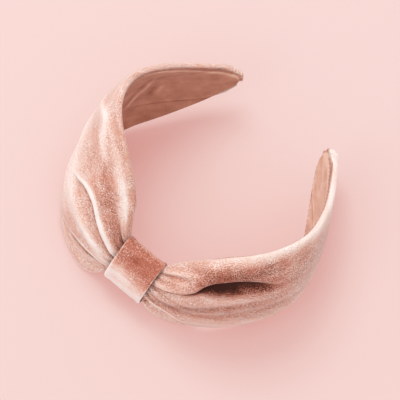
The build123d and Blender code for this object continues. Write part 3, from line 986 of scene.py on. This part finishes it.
def plastic_finish(name):
    made, tree = new_material(name)
    at = add(tree, "TexCoord").outputs["Object"]
    flow = noise_at(tree, at, 55.0, 4.0)
    fine = noise_at(tree, at, 900.0, 2.0)
    colour = ramp(tree, flow, [(0.3, (0.56, 0.50, 0.43)), (0.7, (0.64, 0.58, 0.51))])
    gloss = ramp(tree, fine, [(0.3, 0.34), (0.7, 0.48)])
    bump = bumps(tree, fine, 0.15, 0.0001)
    surface(tree, **{"Base Color": colour, "Roughness": gloss, "Normal": bump})
    return made


# The darkest and palest of each velvet's colours are reached mostly through painted shade and painted sheen.
VELVET = velvet("pleated_velvet", (
    (0.060, 0.019, 0.013), (0.36, 0.108, 0.068), (0.64, 0.315, 0.235), (0.79, 0.56, 0.465),
    (0.91, 0.865, 0.835),
), 0.68, 0.95)
WRAP_VELVET = velvet("wrap_velvet", (
    (0.10, 0.030, 0.020), (0.36, 0.095, 0.058), (0.52, 0.185, 0.120), (0.78, 0.46, 0.36),
    (0.91, 0.88, 0.855),
), 0.45, 0.75)
LINING = suedette("lining_suedette", (0.34, 0.125, 0.078), (0.58, 0.29, 0.20), (0.80, 0.58, 0.46))
THREAD = thread_finish("sewing_thread", (0.22, 0.065, 0.045), (0.48, 0.20, 0.14))
FOAM = foam_finish("foam_sheet")
PLASTIC = plastic_finish("core_plastic_satin")


# ---- assembly
def finish_piece(piece, made, slot, *nodes):
    piece.data.materials.clear()
    piece.data.materials.append(made)
    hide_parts(*nodes)


BEND_SPAN = (FLAT - 0.1, FLAT + 4.6)  # the span where an arm springs open from the crown; bends() works out its ends but bends nothing
SPRING_X = -5.0
SPRING_HEIGHT = -2.2


def bends(piece, side):
    """Bakes the piece's placing into its mesh; the ends of the span are worked out but not used."""
    ends = place(side, np.array(BEND_SPAN), np.full(2, SPRING_X), np.full(2, SPRING_HEIGHT))
    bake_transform(piece)


SHEETS = []
for side_name, side in SIDES.items():
    arm = side_name + "_arm"
    outer, shade_and_sheen = velvet_points(side)
    outer = press(outer)
    velvet_piece = sheet_piece("velvet_" + side_name, outer, side, CLOTH_THICK, shade_and_sheen)
    finish_piece(velvet_piece, VELVET, "velvet", "pleated_velvet_" + side_name)

    under, under_shading, under_s, under_low = under_points(side)
    under = press(under)
    under_piece = sheet_piece("under_layer_" + side_name, under, side, CLOTH_THICK, under_shading)
    finish_piece(under_piece, VELVET, "velvet", "under_velvet_" + side_name)

    lining, lining_shading = lining_points(side)
    lining_piece = sheet_piece("lining_cloth_" + side_name, lining, side, -LINING_THICK, lining_shading)
    finish_piece(lining_piece, LINING, "lining", "lining_" + side_name)

    pad = foam_points(side)
    rows, columns = pad.shape[:2]
    faces = grid_faces(rows, columns, round_columns=True, flip=side == RIGHT)
    ends = [tuple(range(columns)), tuple((rows - 1)*columns + k for k in range(columns))]
    foam_piece = to_mesh("foam_pad_" + side_name, pad.reshape(-1, 3), faces + [e[::-1] for e in ends])
    finish_piece(foam_piece, FOAM, "foam", "foam_" + side_name)
    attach(foam_piece, arm)

    spans = hem_stitches(side) + flange_stitches(side, under_s, under_low)
    stitch_piece = stitches_piece("hem_stitches_" + side_name, spans)
    finish_piece(stitch_piece, THREAD, "thread", "seam_thread_" + side_name)

    for piece in (velvet_piece, under_piece, lining_piece, stitch_piece):
        bends(piece, side)
    SHEETS += [
        (velvet_piece, outer, "gathered", [foam_piece.name, under_piece.name]),
        (under_piece, under, "gathered", [foam_piece.name]),
        (lining_piece, lining, "stretched", ["core_arm_" + side_name]),
    ]

CROWN_HALF = 10.4  # half the length of the cloths under the wrap
WRAP_SEAM = [-16.0 + 3.2*i for i in range(6)]  # its stitches' places across the band
WRAP_BACK = 8.75  # depth of its seam
SEAM_SLANT = (0.7, 0.9)

band, band_round = wrap_band()
finish_piece(band, WRAP_VELVET, "wrap_velvet", "knot_wrap")
gathered = crown_strip("gathered_cloth", (1.6, 1.6), -20.6, 5.4, CROWN_HALF, 0.55)
finish_piece(gathered, VELVET, "velvet", "gathered_velvet")
lining_crown = crown_strip("lining_cloth_crown", (5.6, 4.2), -16.0, 5.8, CROWN_HALF, 0.0)
finish_piece(lining_crown, LINING, "lining", "lining_crown")
crown_origin, crown_out, crown_up = (v[0] for v in CROWN_PLANE)
slant = BAND_X*SEAM_SLANT[0] + crown_up*SEAM_SLANT[1]
seam_spans = []
for x in WRAP_SEAM:
    at = crown_origin - crown_out*WRAP_BACK + crown_up*x
    seam_spans.append((at - slant, at + slant, -crown_out))
wrap_seam = stitches_piece("wrap_seam_stitches", seam_spans)
finish_piece(wrap_seam, THREAD, "thread", "wrap_stitches")
for piece in (band, gathered, lining_crown, wrap_seam):
    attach(piece, "crown")

for node in ("core_crown", "core_arm_left", "core_arm_right"):
    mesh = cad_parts[node].data
    mesh.materials.clear()
    mesh.materials.append(PLASTIC)


# ---- stage, light and camera
FLOOR_COLOUR = (0.360, 0.436, 0.428)
FLOOR_GLOW = (0.47, 0.15, 0.13)  # lifts the shadows and keeps them pink
bpy.ops.mesh.primitive_plane_add(size=6.0, location=(0, 0, 0))
floor = bpy.context.object
floor.name = "floor"
floor_material, floor_tree = new_material("matte_floor")
surface(floor_tree, **{
    "Base Color": (*FLOOR_COLOUR, 1), "Roughness": 1.0, "Specular IOR Level": 0.0,
    "Emission Color": (*FLOOR_GLOW, 1), "Emission Strength": 1.0,
})
floor.data.materials.append(floor_material)


def soft_light(name, direction, distance, size, power, colour):
    """A square studio light that looks at the middle of the band."""
    data = bpy.data.lights.new(name, "AREA")
    data.size = size
    data.energy = power
    data.color = colour
    light = bpy.data.objects.new(name, data)
    away = Vector(direction).normalized()
    light.location = away*distance
    light.rotation_mode = "QUATERNION"
    light.rotation_quaternion = away.to_track_quat("Z", "Y")
    bpy.context.scene.collection.objects.link(light)


soft_light("key", (-0.50, 0.32, 1.0), 1.6, 0.75, 11.0, (0.96, 0.99, 1.0))
soft_light("front", (-0.25, -1.0, 0.75), 1.8, 0.9, 4.5, (1.0, 0.98, 0.97))
world = bpy.data.worlds.new("studio")
bpy.context.scene.world = world
world.use_nodes = True
backdrop = world.node_tree.nodes["Background"].inputs
backdrop["Color"].default_value = (1.0, 0.925, 0.915, 1)
backdrop["Strength"].default_value = 0.90
bpy.context.scene.view_settings.view_transform = "Standard"

AIM = Vector((0.0004, -0.0096, 0.035))
CAMERA_AZIMUTH = radians(24.0)
CAMERA_ELEVATION = radians(66.6)
CAMERA_ROLL = radians(16.1)
CAMERA_DISTANCE = 1.445
camera_data = bpy.data.cameras.new("camera")
camera_data.lens = 229.7
camera_data.sensor_width = 36.0
camera = bpy.data.objects.new("camera", camera_data)
level = cos(CAMERA_ELEVATION)
back = Vector((sin(CAMERA_AZIMUTH)*level, -cos(CAMERA_AZIMUTH)*level, sin(CAMERA_ELEVATION)))
camera.location = AIM + back*CAMERA_DISTANCE
camera.rotation_mode = "QUATERNION"
camera.rotation_quaternion = (-back).to_track_quat("-Z", "Y") @ Quaternion((0, 0, 1), CAMERA_ROLL)
bpy.context.scene.collection.objects.link(camera)
bpy.context.scene.camera = camera
